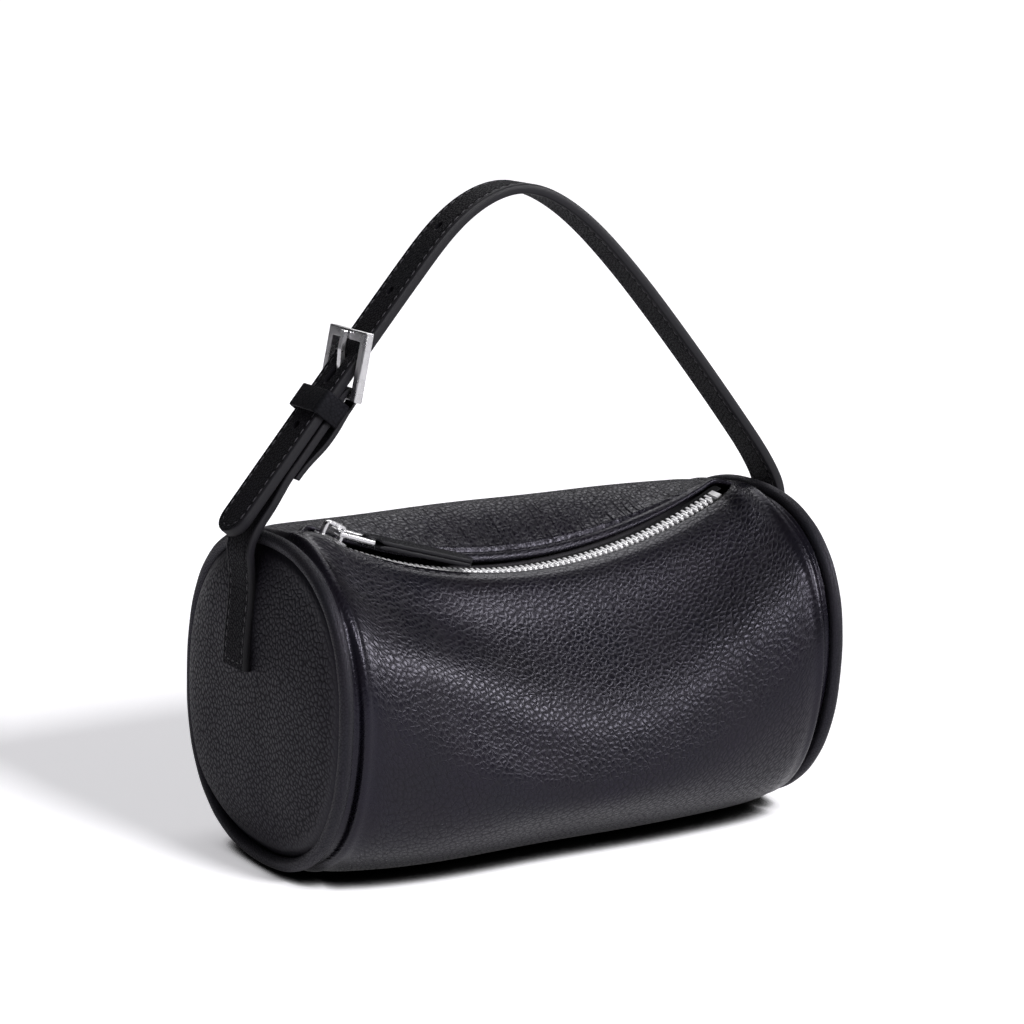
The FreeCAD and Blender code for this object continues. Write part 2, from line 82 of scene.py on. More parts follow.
def unit(vectors):
    return vectors / np.linalg.norm(vectors, axis=-1)[..., None]


# evenly spaced points on a natural cubic spline through the given ones
def smoothLine(points, count):
    p = np.array(points, float)
    t = lengths(p)
    h = np.diff(t)[:, None]
    n = len(p)
    a = np.eye(n)
    r = np.zeros_like(p)
    for i in range(1, n - 1):
        a[i, i - 1:i + 2] = h[i - 1, 0], 2 * (h[i - 1, 0] + h[i, 0]), h[i, 0]
        r[i] = 6 * ((p[i + 1] - p[i]) / h[i] - (p[i] - p[i - 1]) / h[i - 1])
    m = np.linalg.solve(a, r)
    s = np.linspace(0, t[-1], 6 * count)
    i = np.clip(np.searchsorted(t, s) - 1, 0, n - 2)
    d, e, w = (s - t[i])[:, None], (t[i + 1] - s)[:, None], h[i]
    fine = (m[i] * e ** 3 + m[i + 1] * d ** 3) / (6 * w)
    fine += (p[i] / w - m[i] * w / 6) * e + (p[i + 1] / w - m[i + 1] * w / 6) * d
    return spaced(fine, count)


def lengths(points):
    return np.concatenate([[0.0], np.cumsum(np.linalg.norm(np.diff(points, axis=0), axis=1))])


def spaced(points, count):
    run = lengths(points)
    at = np.linspace(0, run[-1], count)
    return np.stack([np.interp(at, run, points[:, k]) for k in range(points.shape[1])], 1)


# where a line in a plane is at this much of its run, and which way it goes there
lookAhead = 0.5


def pointAlong(line, run, at):
    p, q = [np.array([np.interp(s, run, line[:, k]) for k in (0, 1)]) for s in (at, at + lookAhead)]
    return p, (q - p) / max(np.linalg.norm(q - p), 1e-9)


def rimPoint(angle, inset):
    c, s = np.cos(np.radians(angle)), np.sin(np.radians(angle))
    power = 2 / shell["roundness"]
    y = (shell["rimDepth"] / 2 - inset) * np.sign(c) * np.abs(c) ** power
    z = (shell["rimHeight"] / 2 - inset) * np.sign(s) * np.abs(s) ** power
    return y - shell["lean"] * z, z + shell["rimCentre"]


# points in rings inside the rim, each ring a share of it
def ringPoints(scale, spokes, inset):
    y, z = rimPoint(np.linspace(0, 360, spokes, endpoint=False)[None, :], inset)
    return y * scale, shell["rimCentre"] + (z - shell["rimCentre"]) * scale


def arcRise(x):
    return zipRun["radius"] - math.sqrt(zipRun["radius"] ** 2 - x ** 2)


# how far the wrap is drawn in under the piping
def tuck(x):
    start = shell["tuckFrom"]
    return shell["tuckDepth"] * (max(0.0, abs(x) - start) / (shell["wrapEnd"] - start)) ** 2


# leather edge beside the zip; past the zip's ends the two edges close up
def lip(x, side, extra=0.0):
    slot = zipRun["slotRear"] if side > 0 else zipRun["slotFront"]
    rise = zipRun["lipRise"] + (zipRun["rearLift"] if side > 0 else 0.0)
    reach = side * (slot + extra)
    tilt = zipRun["tilt"]
    y = zipRun["y"] + reach * math.cos(tilt) - rise * math.sin(tilt)
    z = zipRun["low"] + arcRise(x) + reach * math.sin(tilt) + rise * math.cos(tilt)
    shut = ease(abs(x), *zipRun["shut"])
    top = rimPoint(90.0, tuck(x))[1] + zipRun["crown"] * (1 - ease(abs(x), *zipRun["crownFade"]))
    narrow = side * (slot + (zipRun["shutHalf"] - slot) * ease(abs(x), *zipRun["narrowing"]) + extra)
    return y + (zipRun["y"] + narrow - y) * shut, z + (top - z) * shut


def outline(x, depth=0.0, spread=0.0):
    sag = max(0.0, 1.0 - arcRise(x) / arcRise(shell["wrapEnd"]))
    flat = max(0.0, 1.0 - (x / shell["wrapEnd"]) ** 6)
    points = [lip(x, -1, spread), lip(x, -1, spread + zipRun["ledge"])]
    for wall, share in (("front", sag), ("base", flat), ("rear", sag)):
        for midY, midZ, angle in shell[wall]:
            y, z = rimPoint(angle, tuck(x))
            points.append((y + (midY - y) * share, z + (midZ - z) * share))
    points.append(lip(x, 1, spread))
    p = np.array(points)
    along = unit(np.gradient(p, axis=0))
    inward = np.stack([-along[:, 1], along[:, 0]], 1)
    inward[[0, -1]] = (0.0, -1.0)
    return p + inward * depth


# the outline at each x, as rows of points
def crossRows(places, around, depth=0.0, spread=0.0):
    rows = [smoothLine(outline(x, depth, spread), around) for x in places]
    return np.stack([np.column_stack([np.full(around, x), s]) for x, s in zip(places, rows)])


def gridNormals(grid):
    normal = np.cross(np.gradient(grid, axis=0), np.gradient(grid, axis=1))
    return normal / np.maximum(np.linalg.norm(normal, axis=2)[..., None], 1e-9)


def meshObject(name, points, faces, uv=None, materials=(), slots=None, smooth=True, closed=False):
    mesh = bpy.data.meshes.new(name)
    mesh.from_pydata((np.asarray(points).reshape(-1, 3) * mm).tolist(), [], faces)
    if uv is not None:
        layer = mesh.uv_layers.new(name="cut")
        corner = np.zeros(len(mesh.loops), np.int32)
        mesh.loops.foreach_get("vertex_index", corner)
        laid = np.asarray(uv).reshape(-1, 2)[corner] * mm
        layer.data.foreach_set("uv", laid.ravel().astype(np.float32))
    for material in materials:
        mesh.materials.append(material)
    if slots is not None:
        mesh.polygons.foreach_set("material_index", slots)
    mesh.polygons.foreach_set("use_smooth", [smooth] * len(mesh.polygons))
    if closed:  # every face of a closed shape looks outwards
        held = bmesh.new()
        held.from_mesh(mesh)
        bmesh.ops.recalc_face_normals(held, faces=held.faces)
        held.to_mesh(mesh)
        held.free()
    mesh.update()
    obj = bpy.data.objects.new(name, mesh)
    bpy.context.scene.collection.objects.link(obj)
    return obj


def gridFaces(rows, columns, ring=False, flip=False):
    index = np.arange(rows * columns).reshape(rows, columns)
    if ring:
        index = np.concatenate([index, index[:, :1]], 1)
    quads = np.stack([index[:-1, :-1], index[1:, :-1], index[1:, 1:], index[:-1, 1:]], -1).reshape(-1, 4)
    return (quads[:, ::-1] if flip else quads).tolist()


def pointValue(obj, name, values):
    held = obj.data.attributes.new(name, "FLOAT", "POINT")
    held.data.foreach_set("value", np.asarray(values, np.float32).ravel())


# values or other nodes' sockets go to a node's inputs
def feed(tree, node, inputs):
    for key, value in inputs.items():
        if isinstance(value, bpy.types.NodeSocket):
            tree.links.new(value, node.inputs[key])
        else:
            node.inputs[key].default_value = value


def add(tree, kind, settings=None, inputs=None):
    made = tree.nodes.new("ShaderNode" + kind)
    for key, value in (settings or {}).items():
        setattr(made, key, value)
    feed(tree, made, inputs or {})
    return made


def calc(tree, operation, *values):
    return add(tree, "Math", {"operation": operation}, dict(enumerate(values))).outputs[0]


def cutPlace(tree):
    return add(tree, "UVMap", {"uv_map": "cut"}).outputs[0]


# noise with blobs of about size mm; flat noise lies in the two directions of the cut
def noise(tree, vector, size, detail=2.0, flat=True):
    made = add(tree, "TexNoise", {"noise_dimensions": "2D" if flat else "3D"},
               {"Vector": vector, "Scale": 1.0 / (size * mm), "Detail": detail})
    return made.outputs


# one band every size mm; at scale 1 a wave texture repeats every 0.31 of a unit
def bands(tree, vector, direction, size, distortion):
    made = add(tree, "TexWave", {"bands_direction": direction},
               {"Vector": vector, "Scale": 0.31 / (size * mm), "Distortion": distortion})
    return made.outputs["Fac"]


def between(tree, factor, dark, light):
    made = add(tree, "Mix", {"data_type": "RGBA"}, {0: factor, 6: hexLinear(dark), 7: hexLinear(light)})
    return made.outputs[2]


def bump(tree, strength, relief, height):
    made = add(tree, "Bump", None, {"Strength": strength, "Distance": relief * mm, "Height": height})
    return made.outputs[0]


def newMaterial(name):
    material = bpy.data.materials.new(name)
    material.use_nodes = True
    tree = material.node_tree
    return material, tree, tree.nodes["Principled BSDF"]


# what all the leathers share; pore, patch and fold are in mm
pebbles = {"turn": 0.6, "swayScale": 0.5, "swayRough": 0.55, "push": 1.1, "random": 0.8, "smooth": 0.25,
           "fall": 1.3, "pore": 0.35, "poreRise": 0.12, "patch": 24.0, "patchTone": 0.35, "patchGloss": 0.12,
           "fold": 2.2, "foldStretch": 0.14, "creaseRough": 0.34, "tint": "#efeaff"}


# Leather: rounded pebbles between creases, with the creases duller and painted darker as shade, so light
# breaks up over it
def leatherMaterial(name, look):
    material, tree, shader = newMaterial(name)
    cut = cutPlace(tree)
    cell = look["pebble"] * mm
    laid = add(tree, "Mapping", None, {"Vector": cut, "Rotation": (0.0, 0.0, pebbles["turn"])})
    sway = add(tree, "TexNoise", {"noise_dimensions": "2D"},
               {"Vector": cut, "Scale": pebbles["swayScale"] / cell, "Detail": 2.0,
                "Roughness": pebbles["swayRough"]})
    centred = add(tree, "VectorMath", {"operation": "SUBTRACT"},
                  {0: sway.outputs["Color"], 1: (0.5, 0.5, 0.5)})
    pushed = add(tree, "VectorMath", {"operation": "MULTIPLY_ADD"},
                 {0: centred.outputs[0], 1: (pebbles["push"] * cell,) * 3, 2: laid.outputs[0]})
    cells = {"Vector": pushed.outputs[0], "Scale": 1.0 / cell, "Randomness": pebbles["random"]}
    creases = add(tree, "TexVoronoi", {"voronoi_dimensions": "2D", "feature": "DISTANCE_TO_EDGE"}, cells)
    slope = add(tree, "MapRange", None, {"Value": creases.outputs["Distance"], "From Max": look["crease"],
                                         "To Min": 1.0, "To Max": 0.0})
    valley = calc(tree, "POWER", slope.outputs[0], 2.0)
    centres = add(tree, "TexVoronoi", {"voronoi_dimensions": "2D", "feature": "SMOOTH_F1"},
                  {**cells, "Smoothness": pebbles["smooth"]})
    fallen = calc(tree, "POWER", centres.outputs["Distance"], 2.0)
    lowered = calc(tree, "MULTIPLY_ADD", fallen, pebbles["fall"], valley)
    depth = add(tree, "Attribute", {"attribute_name": "grain"}).outputs["Fac"]
    dome = calc(tree, "SUBTRACT", 1.0, calc(tree, "MULTIPLY", lowered, depth))
    pores = noise(tree, cut, pebbles["pore"])
    broad = noise(tree, cut, pebbles["patch"])
    fine = calc(tree, "MULTIPLY_ADD", pores["Fac"], pebbles["poreRise"], dome)
    # drawn-up leather beside a seam: narrow folds running away from it
    gather = add(tree, "Attribute", {"attribute_name": "pucker"}).outputs["Fac"]
    drawn = add(tree, "Mapping", None, {"Vector": cut, "Scale": (1.0, pebbles["foldStretch"], 1.0)})
    folds = noise(tree, drawn.outputs[0], pebbles["fold"], 1.5)
    height = calc(tree, "MULTIPLY_ADD", folds["Fac"], gather, fine)
    # painted shade: the creases get a darker colour than the pebble tops, then a random mottle is laid over
    creaseShadedTone = between(tree, dome, look["creaseShadeColour"], look["colour"])
    shadedMottle = add(tree, "Mix", {"data_type": "RGBA", "blend_type": "MULTIPLY"},
               {0: pebbles["patchTone"], 6: creaseShadedTone, 7: broad["Color"]})
    gloss = add(tree, "MapRange", None, {"Value": dome, "To Min": look["rough"] + pebbles["creaseRough"],
                                         "To Max": look["rough"]})
    patchy = calc(tree, "MULTIPLY_ADD", broad["Fac"], pebbles["patchGloss"], gloss.outputs[0])
    feed(tree, shader, {"Base Color": shadedMottle.outputs[2], "Roughness": patchy,
                        "Normal": bump(tree, look["strength"], look["relief"], height),
                        "Specular IOR Level": look["specular"], "Specular Tint": hexLinear(pebbles["tint"])})
    return material


wrapLook = {"pebble": 2.1, "crease": 0.46, "relief": 0.13, "strength": 1.0,
            "rough": 0.19, "specular": 0.36, "colour": "#110f16", "creaseShadeColour": "#050407"}
strapLook = {"pebble": 1.3, "crease": 0.35, "relief": 0.1, "strength": 1.0,
             "rough": 0.52, "specular": 0.16, "colour": "#101013", "creaseShadeColour": "#070708"}
pipingLook = {"pebble": 1.0, "crease": 0.4, "relief": 0.1, "strength": 0.5,
              "rough": 0.36, "specular": 0.45, "colour": "#111014", "creaseShadeColour": "#0b0b0d"}
panelLook = {**wrapLook, "pebble": 1.9, "relief": 0.16, "rough": 0.36, "specular": 0.32}
pebbledLeather = leatherMaterial("pebbled leather, drummed grain", wrapLook)
panelLeather = leatherMaterial("pebbled leather, duller end cut", panelLook)
strapLeather = leatherMaterial("strap leather, fine pressed grain", strapLook)
pipingLeather = leatherMaterial("piping leather, stretched smooth", pipingLook)

# Edge paint: brushed on in coats, a smoother and paler line than the faces
edgeLook = {"colour": "#1d1c20", "dark": "#131216", "rough": 0.48, "specular": 0.25, "streak": 3.0,
            "stretch": 12.0, "strength": 0.3, "relief": 0.08}
edgePaint, tree, shader = newMaterial("edge paint, brushed coats")
cut = cutPlace(tree)
drawn = add(tree, "Mapping", None, {"Vector": cut, "Scale": (1.0, edgeLook["stretch"], 1.0)})
streaks = noise(tree, drawn.outputs[0], edgeLook["streak"], 3.0)["Fac"]
feed(tree, shader, {"Base Color": between(tree, streaks, edgeLook["dark"], edgeLook["colour"]),
                    "Normal": bump(tree, edgeLook["strength"], edgeLook["relief"], streaks),
                    "Roughness": edgeLook["rough"], "Specular IOR Level": edgeLook["specular"]})

# Thread: two plies twisted, seen as fine slanting bands
threadLook = {"light": "#4a484e", "dark": "#232226", "ply": 0.45, "uneven": 0.4, "rough": 0.55}
thread, tree, shader = newMaterial("bonded thread, twisted plies")
cut = cutPlace(tree)
plies = bands(tree, cut, "DIAGONAL", threadLook["ply"], threadLook["uneven"])
feed(tree, shader, {"Base Color": between(tree, plies, threadLook["dark"], threadLook["light"]),
                    "Roughness": threadLook["rough"]})


# Woven cloth: warp and weft ribs crossing, matte
def wovenMaterial(name, look):
    material, tree, shader = newMaterial(name)
    cut = cutPlace(tree)
    turned = add(tree, "Mapping", None, {"Vector": cut, "Rotation": (0.0, 0.0, look["turn"])})
    warp, weft = [bands(tree, turned.outputs[0], way, look["rib"], look["uneven"]) for way in ("X", "Y")]
    cross = calc(tree, "MAXIMUM", warp, weft)
    fuzz = noise(tree, cut, look["fuzz"])["Fac"]
    shade = between(tree, calc(tree, "MULTIPLY", cross, fuzz), look["dark"], look["light"])
    feed(tree, shader, {"Base Color": shade, "Normal": bump(tree, look["strength"], look["relief"], cross),
                        "Roughness": look["rough"]})
    return material


tapeLook = {"rib": 0.5, "turn": 0.78, "dark": "#0b0b0d", "light": "#1d1c20", "rough": 0.8,
            "uneven": 0.3, "fuzz": 4.0, "strength": 0.6, "relief": 0.1}
liningLook = {**tapeLook, "rib": 0.7, "turn": 0.0, "dark": "#222024", "light": "#3a383c", "rough": 0.85}
tapeCloth = wovenMaterial("zip tape, herringbone polyester", tapeLook)
liningCloth = wovenMaterial("lining, plain cotton weave", liningLook)


# Plated metal: bright, with faint wiped streaks in the gloss
def metalMaterial(name, look):
    material, tree, shader = newMaterial(name)
    place = add(tree, "TexCoord").outputs["Object"]
    drawn = add(tree, "Mapping", None, {"Vector": place, "Scale": look["stretch"]})
    wipes = noise(tree, drawn.outputs[0], look["streak"], flat=False)["Fac"]
    gloss = add(tree, "MapRange", None,
                {"Value": wipes, "To Min": look["rough"], "To Max": look["rough"] + look["wiped"]})
    feed(tree, shader, {"Base Color": between(tree, wipes, look["dark"], look["light"]),
                        "Roughness": gloss.outputs[0], "Metallic": look["metal"],
                        "Normal": bump(tree, look["strength"], look["relief"], wipes)})
    return material


buckleLook = {"stretch": (1.0, 0.3, 1.0), "streak": 3.0, "dark": "#d6d5d7", "light": "#f4f3f5",
              "rough": 0.22, "wiped": 0.12, "metal": 1.0, "strength": 0.1, "relief": 0.005}
toothLook = {**buckleLook, "stretch": (1.0, 1.0, 1.0), "streak": 0.8, "dark": "#e4e3e5", "light": "#faf9fb",
             "rough": 0.4, "metal": 0.55}
buckleMetal = metalMaterial("nickel plate, wiped polish", buckleLook)
toothMetal = metalMaterial("zip metal, stamped and plated", toothLook)

# Fibre board: pressed flakes, dull
boardLook = {"flake": 3.0, "dark": "#2e2c2b", "light": "#4a4744", "rough": 0.8}
fibreBoard, tree, shader = newMaterial("fibre board, pressed flakes")
place = add(tree, "TexCoord").outputs["Object"]
flakes = add(tree, "TexVoronoi", None, {"Vector": place, "Scale": 1.0 / (boardLook["flake"] * mm)})
shade = between(tree, flakes.outputs["Distance"], boardLook["dark"], boardLook["light"])
feed(tree, shader, {"Base Color": shade, "Roughness": boardLook["rough"]})
print("materials made")


# Wrap: the body's one skin, from the front edge of the zip round to the rear edge
# rolls: rows of height, distance from the edge and width
# ridge: where the sagging front turns over, as x and z
wrap = {
    "stations": 300, "around": 400, "foldRadius": 0.9, "rearFold": 1.035, "foldBack": 4.0, "lowest": 0.02,
    "endRolls": [(0.9, 4.4, 1.6), (-1.7, 1.5, 1.1), (-0.6, 0.0, 0.8)],
    "frontRolls": [(-0.25, 3.4, 0.6)], "rearRolls": [(0.5, 3.5, 2.6), (0.45, 1.2, 0.8), (-0.5, 2.6, 0.7)],
    "rollsFade": (74.0, 84.0), "uneven": 0.45, "ridgeRise": 3.0, "ridgeAbove": 18.0, "ridgeBelow": 12.0,
    "ridge": [(-97, 94), (-76, 84), (-54, 75), (-35, 65), (-13, 54), (11, 50), (36, 56), (62, 71), (84, 89),
              (97, 98)],
    "leastGrain": 0.25, "smoothX": -45.0, "smoothWide": 38.0, "smoothLeft": 0.6, "smoothLow": 0.45,
    "pucker": 15.0, "puckerFade": 42.0,
}


def rolled(distance, rows):
    return sum(rise * bell(distance, centre, width) for rise, centre, width in rows)


stations = np.linspace(-shell["hidden"], shell["hidden"], wrap["stations"])
sheet = crossRows(stations, wrap["around"])
run = np.stack([lengths(s) for s in sheet[..., 1:]])
back = run[:, -1:] - run
alongX, height = sheet[..., 0], sheet[..., 2]
toEnd = np.maximum(shell["wrapEnd"] - np.abs(alongX), 0)
onZip = 1 - ease(np.abs(alongX), *wrap["rollsFade"])
swell = rolled(toEnd, wrap["endRolls"])
swell += onZip * (rolled(run, wrap["frontRolls"]) + rolled(back, wrap["rearRolls"]))
# slack waves, 110 to 300 mm long
uneven = np.sin(alongX * 0.055 + run * 0.031) * np.sin(run * 0.043 - alongX * 0.021 + 1.0)
swell += wrap["uneven"] * uneven * ease(toEnd, 4.0, 30.0) * ease(np.minimum(run, back), 4.0, 40.0)
ridgeLine = smoothLine(wrap["ridge"], 200).T
ridgeZ = np.interp(alongX, *ridgeLine)
ridged = bell(height, ridgeZ, np.where(height > ridgeZ, wrap["ridgeAbove"], wrap["ridgeBelow"]))
swell += wrap["ridgeRise"] * ridged * ease(toEnd, 6.0, 30.0) * ease(run, 6.0, 22.0) * (sheet[..., 1] < 0)
sheet = sheet + gridNormals(sheet) * -swell[..., None]
sheet[..., 2] = np.maximum(sheet[..., 2], wrap["lowest"])


# turned edge: the leather rolls over and goes back under itself
def turnedEdge(edge, inner, radius, under):
    out = unit(edge - inner)
    up = np.cross(out, np.array([1.0, 0.0, 0.0]))
    up *= np.sign(up[:, 2:])
    centre = edge - up * radius
    turns = np.radians([60, 30, 0, -30, -60, -90])
    rows = [centre + radius * (math.cos(t) * out + math.sin(t) * up) for t in turns]
    return rows + [edge - up * 2 * radius - out * under]


frontFold = turnedEdge(sheet[:, 0], sheet[:, 2], wrap["foldRadius"], wrap["foldBack"])
rearFold = turnedEdge(sheet[:, -1], sheet[:, -3], wrap["rearFold"], wrap["foldBack"])
whole = np.concatenate([np.stack(frontFold[::-1], 1), sheet, np.stack(rearFold, 1)], 1)
steps = np.linalg.norm(np.diff(whole, axis=1), axis=2)
down = np.cumsum(np.concatenate([np.zeros((len(stations), 1)), steps], 1), 1)
skinX, skinY, skinZ = np.moveaxis(whole, -1, 0)
bodySkin = meshObject("bodySkin", whole, gridFaces(*whole.shape[:2], flip=True),
                      np.stack([skinX, down], -1), [pebbledLeather])
folded = 8.0  # skin that is turned under at each edge
upRear = down[:, -1:] - down - folded
calm = ease(shell["wrapEnd"] - np.abs(skinX), 5.0, 12.0)
calm *= 0.35 + 0.65 * ease(np.minimum(down - folded, upRear), 1.0, 14.0)
# the front is drawn smooth under the left of the zip and below the ridge
belowRidge = np.interp(skinX, *ridgeLine) - skinZ
leftOfZip = bell(skinX, wrap["smoothX"], wrap["smoothWide"]) * ease(skinZ, 66.0, 84.0)
drawnSmooth = wrap["smoothLeft"] * leftOfZip + wrap["smoothLow"] * ease(belowRidge, 8.0, 26.0)
grain = wrap["leastGrain"] + (1 - wrap["leastGrain"]) * calm
pointValue(bodySkin, "grain", grain * (1 - drawnSmooth * (skinY < 0)))
gathered = ease(upRear, 2.0, 5.0) * np.exp(-upRear / wrap["puckerFade"])
gathered *= 1 - ease(np.abs(skinX), 84.0, 95.0)
pointValue(bodySkin, "pucker", wrap["pucker"] * gathered)
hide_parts("body_wrap")
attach(bodySkin, "bag")
print("wrap made")


# End panels: swollen discs inside the piping
def panelSwell(y, z):
    dy = (y + shell["lean"] * (z - shell["rimCentre"])) / (shell["rimDepth"] / 2 - shell["panelEdge"])
    dz = (z - shell["rimCentre"]) / (shell["rimHeight"] / 2 - shell["panelEdge"])
    out = (np.abs(dy) ** shell["roundness"] + np.abs(dz) ** shell["roundness"]) ** (1 / shell["roundness"])
    return shell["halfLength"] + shell["seam"] + shell["swell"] * (1 - out ** 2)


# fuller and over: the slack rear half stands out more; hem: shares of the rim that turn in under the piping
panel = {"rings": 80, "spokes": 200, "centre": 0.004, "hem": [1.012, 1.022, 1.03], "turnIn": 60.0,
         "fuller": 5.0, "over": 1.7, "puffY": (-15.0, 35.0), "puffZ": (0.0, 30.0),
         "rimDip": 1.1, "dipWide": 0.03, "dent": 0.35, "dentFade": (0.02, 0.2),
         "leastGrain": 0.15, "grain": 0.7, "grainFade": (0.02, 0.14)}
piping = {"spokes": 320, "facets": 20, "pinch": 0.012, "pinches": 23, "grain": 0.8}
for side, name in ((-1, "left"), (1, "right")):
    scale = np.concatenate([np.linspace(panel["centre"], 1.0, panel["rings"]), panel["hem"]])[:, None]
    y, z = ringPoints(scale, panel["spokes"], shell["panelEdge"])
    puff = ease(y, *panel["puffY"]) * ease(z, *panel["puffZ"])
    x = shell["halfLength"] + shell["seam"] + shell["swell"] * (1 - scale ** (2 + panel["fuller"] * puff))
    x = x + panel["over"] * puff - panel["rimDip"] * (1 - puff) * bell(scale, 1.0, panel["dipWide"])
    x = x - panel["turnIn"] * np.maximum(scale - 1.0, 0)
    x = x + panel["dent"] * np.sin(y * 0.06 + 1.0) * np.sin(z * 0.07) * ease(1 - scale, *panel["dentFade"])
    face = np.stack([side * x, y, z], -1)
    faces = gridFaces(*face.shape[:2], ring=True, flip=side < 0)
    faces.append(list(range(panel["spokes"]))[::side])  # closes the middle
    skin = meshObject(name + "PanelSkin", face, faces, np.stack([y, z], -1), [panelLeather])
    grained = panel["leastGrain"] + panel["grain"] * ease(1 - scale + 0 * y, *panel["grainFade"])
    pointValue(skin, "grain", grained)
    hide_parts(name + "_end_panel")
    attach(skin, "bag")

    # piping: a covered cord, pinched a little where it is sewn in
    spokes = np.linspace(0, 360, piping["spokes"], endpoint=False)
    rimY, rimZ = rimPoint(spokes, shell["piping"] / 2)
    path = np.stack([np.full(piping["spokes"], side * shell["halfLength"]), rimY, rimZ], 1)
    ahead = unit(np.roll(path, -1, 0) - np.roll(path, 1, 0))
    sideways = np.array([1.0, 0.0, 0.0])
    outward = np.cross(ahead, sideways)
    turn = np.radians(np.linspace(0, 360, piping["facets"], endpoint=False))
    pinched = 1 + piping["pinch"] * np.sin(np.radians(spokes) * piping["pinches"])
    radius = shell["piping"] / 2 * pinched[:, None, None]
    around = np.cos(turn)[None, :, None] * outward[:, None] + np.sin(turn)[None, :, None] * sideways
    tube = path[:, None] + radius * around
    tube = np.concatenate([tube, tube[:1]])
    along = lengths(np.concatenate([path, path[:1]]))
    uv = np.stack(np.meshgrid(along, turn * shell["piping"] / 2, indexing="ij"), -1)
    cover = meshObject(name + "PipingSkin", tube, gridFaces(*tube.shape[:2], ring=True), uv, [pipingLeather])
    pointValue(cover, "grain", np.full(tube.shape[:2], piping["grain"]))
    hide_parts(name + "_piping")
    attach(cover, "bag")
print("ends made")


# corner: the edges' rounding as a share of half the thickness; narrow: its most as a share of half the width
stripShape = {"corner": 0.55, "narrow": 0.8, "edgeSteps": 9, "faceSteps": 25,
              "groove": 0.2, "grooveWide": 0.55}


# A flat leather strip: line is its middle in its own plane, place turns plane and width into x, y, z
def strip(name, line, place, halfWidth, halfThick, materials, flip=1.0, dips=()):
    count = len(line)
    ahead = unit(np.gradient(line, axis=0))
    out = flip * np.stack([ahead[:, 1], -ahead[:, 0]], 1)
    w, h = np.broadcast_to(halfWidth, count)[:, None], np.broadcast_to(halfThick, count)[:, None]
    r = np.minimum(stripShape["corner"] * h, stripShape["narrow"] * w)
    turn = np.radians(np.linspace(90, -90, stripShape["edgeSteps"]))[None, 1:-1]
    across = np.linspace(-1, 1, stripShape["faceSteps"])[None, :]
    faceA, faceH = across * (w - r), h + 0 * across
    for dip in dips:  # the leather sinks along a row of stitches
        faceH = faceH - stripShape["groove"] * bell(np.abs(faceA), w - dip, stripShape["grooveWide"])
    edgeA = w - r + r * np.cos(turn)
    edgeH = np.sign(np.sin(turn)) * (h - r) + r * np.sin(turn)
    a = np.concatenate([faceA, edgeA, -faceA, -edgeA], 1)
    b = np.concatenate([faceH, edgeH, -faceH, -edgeH], 1)
    plane = line[:, None] + out[:, None] * b[..., None]
    points = place(plane[..., 0], plane[..., 1], a)
    s = lengths(line)[:, None] + 0 * a
    stepA, stepB = np.diff(a, axis=1, prepend=a[:, :1]), np.diff(b, axis=1, prepend=b[:, :1])
    girth = np.cumsum(np.hypot(stepA, stepB), 1)
    faces = gridFaces(count, a.shape[1], ring=True, flip=flip < 0)
    column = np.tile(np.arange(a.shape[1]), count - 1)
    onEdge = column % (a.shape[1] // 2) >= across.size - 1
    slots = onEdge.astype(int).tolist() + [1, 1]
    ring = list(range(a.shape[1]))
    last = [(count - 1) * a.shape[1] + i for i in ring]
    caps = [ring, last[::-1]] if flip > 0 else [ring[::-1], last]
    obj = meshObject(name, points, faces + caps, np.stack([s, girth], -1), materials, slots, closed=True)
    pointValue(obj, "grain", np.full(a.size, 1.0))
    return obj


# Stitches: short capsules of thread half sunk in the leather along a path
def stitches(name, path, normal, long, gap, radius):
    sides = 6
    run = lengths(path)
    count = int(run[-1] / (long + gap))
    starts = (np.arange(count) + 0.5) * run[-1] / count
    shape = [(-1.0, 0.05), (-0.8, 0.75), (0.0, 1.0), (0.8, 0.75), (1.0, 0.05)]
    points, faces, uv = [], [], []
    for at in starts:
        ends = [np.array([np.interp(at + d, run, path[:, k]) for k in range(3)])
                for d in (-long / 2, long / 2)]
        up = np.array([np.interp(at, run, normal[:, k]) for k in range(3)])
        ahead = (ends[1] - ends[0]) / 2
        side = np.cross(up, ahead)
        side /= max(np.linalg.norm(side), 1e-9)
        first = len(points)
        for step, size in shape:
            for k in range(sides):
                t = math.radians(360 / sides * k)
                drop = -0.45 * radius * step * step
                points.append((ends[0] + ends[1]) / 2 + ahead * step + up * drop
                              + radius * size * (math.cos(t) * side + math.sin(t) * up))
                uv.append((at + step * long / 2, radius * t))
        for row in range(len(shape) - 1):
            for k in range(sides):
                a, b = first + row * sides + k, first + row * sides + (k + 1) % sides
                faces.append((a, b, b + sides, a + sides))
    return meshObject(name, np.array(points), faces, np.array(uv), [thread])


# Holes: a prism with these corners is cut away between two depths
def cutOut(obj, corners, depthA, depthB):
    count = len(corners)
    points = [depthA(c) for c in corners] + [depthB(c) for c in corners]
    faces = [tuple(range(count))[::-1], tuple(range(count, 2 * count))]
    faces += [(i, (i + 1) % count, count + (i + 1) % count, count + i) for i in range(count)]
    cutter = meshObject("cutter", np.array(points), faces, smooth=False, closed=True)
    hole = obj.modifiers.new("hole", "BOOLEAN")
    hole.object = cutter
    hole.solver = "EXACT"
    bpy.context.view_layer.update()
    done = bpy.data.meshes.new_from_object(obj.evaluated_get(bpy.context.evaluated_depsgraph_get()))
    obj.modifiers.clear()
    obj.data = done
    bpy.data.objects.remove(cutter)


